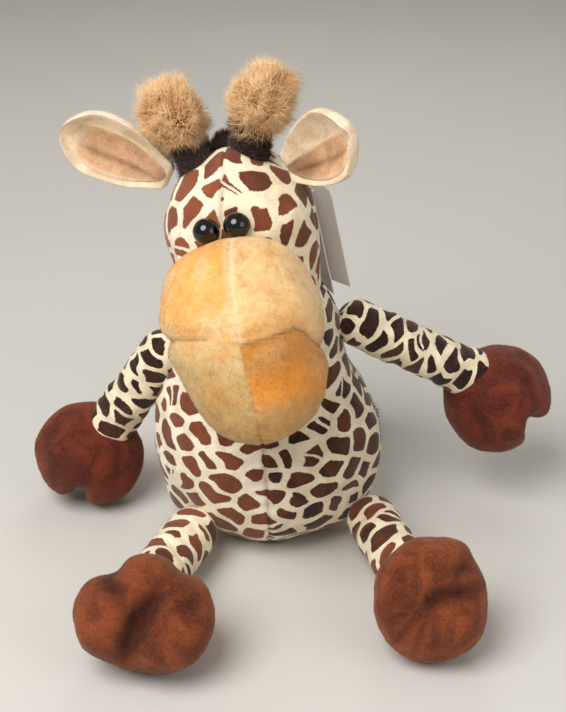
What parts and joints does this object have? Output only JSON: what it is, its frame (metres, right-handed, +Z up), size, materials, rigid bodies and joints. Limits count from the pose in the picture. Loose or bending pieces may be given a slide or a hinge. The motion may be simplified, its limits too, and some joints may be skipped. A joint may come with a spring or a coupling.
{
  "type": "plush giraffe",
  "caption": "Seated plush giraffe with a big soft muzzle, cupped ears, tufted horns, and floppy limbs with brown cloven hooves on sewn, springy joints.",
  "frame": {"origin": "middle of the flat seat, on the surface that the toy sits on", "axes": "+Z up, -Y the way the toy faces, +X towards its own left arm"},
  "size_m": [0.2625, 0.2344, 0.2351],
  "materials": {
    "giraffe_print_plush": "short-pile plush, cream with printed brown patches",
    "gold_plush": "short-pile plush",
    "cream_plush": "short-pile plush",
    "tan_plush": "short-pile plush",
    "hoof_plush": "brushed rust-brown plush",
    "horn_plush": "dark plush",
    "tuft_fur": "long loose fur",
    "dark_fur": "long loose fur",
    "eye_plastic": "polished black",
    "washer_plastic": "moulded",
    "tag_card": "matt card",
    "loop_plastic": "thin clear-white plastic"
  },
  "bodies": {
    "torso": {"torso": "giraffe_print_plush"},
    "head": {"head": "giraffe_print_plush", "muzzle": "gold_plush", "horn_left": "horn_plush", "horn_right": "horn_plush", "horn_tuft_left": "tuft_fur", "horn_tuft_right": "tuft_fur", "mane": "dark_fur", "eye_left": "eye_plastic", "eye_right": "eye_plastic", "eye_washer_left": "washer_plastic", "eye_washer_right": "washer_plastic", "tag_loop": "loop_plastic"},
    "ear_left": {"ear_left": "cream_plush", "ear_lining_left": "tan_plush"},
    "ear_right": {"ear_right": "cream_plush", "ear_lining_right": "tan_plush"},
    "arm_left": {"arm_left": "giraffe_print_plush", "fore_hoof_left": "hoof_plush"},
    "arm_right": {"arm_right": "giraffe_print_plush", "fore_hoof_right": "hoof_plush"},
    "leg_left": {"leg_left": "giraffe_print_plush", "hind_hoof_left": "hoof_plush"},
    "leg_right": {"leg_right": "giraffe_print_plush", "hind_hoof_right": "hoof_plush"},
    "tail": {"tail": "giraffe_print_plush", "tail_tuft": "dark_fur"},
    "tag": {"hang_tag": "tag_card"}
  },
  "joints": [
    {"name": "head_nod", "type": "hinge", "parent": "torso", "child": "head", "pos_m": [-0.005, 0.004, 0.102], "axis": [-1, 0, 0], "range_deg": [0, 15], "stiffness_Nm_per_rad": 0.05},
    {"name": "ear_left_bend", "type": "hinge", "parent": "head", "child": "ear_left", "pos_m": [0.00929, -0.0065, 0.19133], "axis": [-0.4296, 0.3462, 0.834], "range_deg": [-20, 20], "stiffness_Nm_per_rad": 0.004},
    {"name": "ear_right_bend", "type": "hinge", "parent": "head", "child": "ear_right", "pos_m": [-0.04493, 0.01355, 0.17918], "axis": [-0.4121, 0.1057, -0.905], "range_deg": [-20, 20], "stiffness_Nm_per_rad": 0.004},
    {"name": "shoulder_left", "type": "hinge", "parent": "torso", "child": "arm_left", "pos_m": [0.044, 0.007, 0.1062], "axis": [0, -1, 0], "range_deg": [-12, 60], "stiffness_Nm_per_rad": 0.1, "springref_deg": 2.86},
    {"name": "shoulder_right", "type": "hinge", "parent": "torso", "child": "arm_right", "pos_m": [-0.052, 0.006, 0.0905], "axis": [0, 1, 0], "range_deg": [0, 75], "stiffness_Nm_per_rad": 0.06},
    {"name": "hip_left", "type": "hinge", "parent": "torso", "child": "leg_left", "pos_m": [0.051, -0.031, 0.017], "axis": [-0.955, -0.2966, 0], "range_deg": [0, 35], "stiffness_Nm_per_rad": 0.06},
    {"name": "hip_right", "type": "hinge", "parent": "torso", "child": "leg_right", "pos_m": [-0.0375, -0.0415, 0.017], "axis": [-0.9373, 0.3484, 0], "range_deg": [0, 35], "stiffness_Nm_per_rad": 0.06},
    {"name": "tail_lift", "type": "hinge", "parent": "torso", "child": "tail", "pos_m": [0.002, 0.048, 0.024], "axis": [1, 0, 0], "range_deg": [0, 55]},
    {"name": "tag_swing", "type": "hinge", "parent": "head", "child": "tag", "pos_m": [0.01896, 0.03039, 0.16542], "axis": [0.8438, 0.4977, 0.2007], "range_deg": [-30, 30]}
  ]
}
